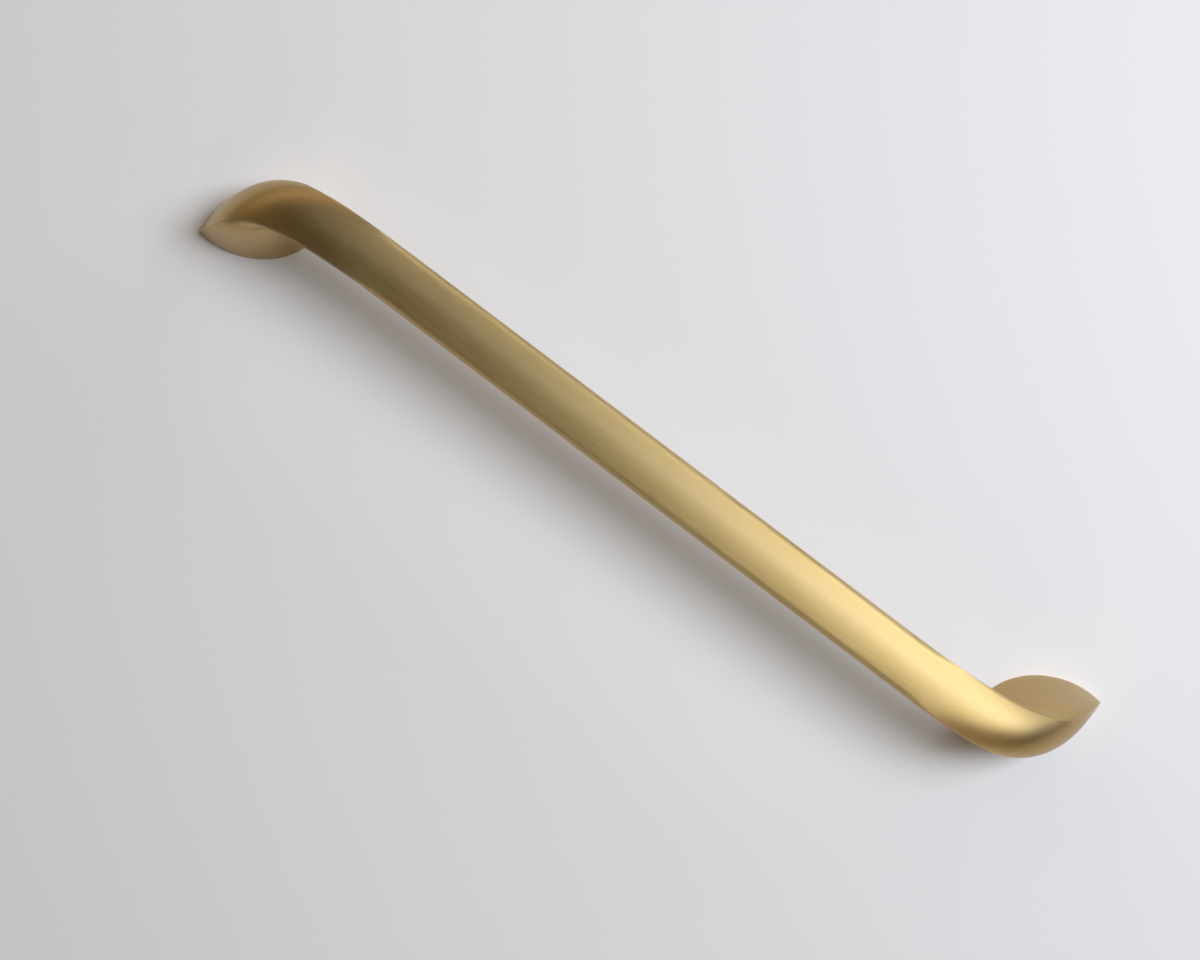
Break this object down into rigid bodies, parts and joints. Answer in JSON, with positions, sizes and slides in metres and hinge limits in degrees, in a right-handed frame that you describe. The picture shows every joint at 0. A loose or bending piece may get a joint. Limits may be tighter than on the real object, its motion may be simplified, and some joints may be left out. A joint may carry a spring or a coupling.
{
  "type": "cabinet pull",
  "caption": "Solid brass bar pull for a drawer or cabinet door, with a straight grip and two flared feet that twist sideways, screwed on from behind",
  "frame": {"origin": "midpoint between the two feet, on the plane the feet stand on", "axes": "+X along the grip, +Z away from the cabinet front, +Y towards the side the foot at the +X end swings to"},
  "size_m": [0.2594, 0.0442, 0.0312],
  "materials": {
    "pull": "brushed satin brass"
  },
  "bodies": {
    "root": {"pull": "pull"}
  },
  "joints": []
}
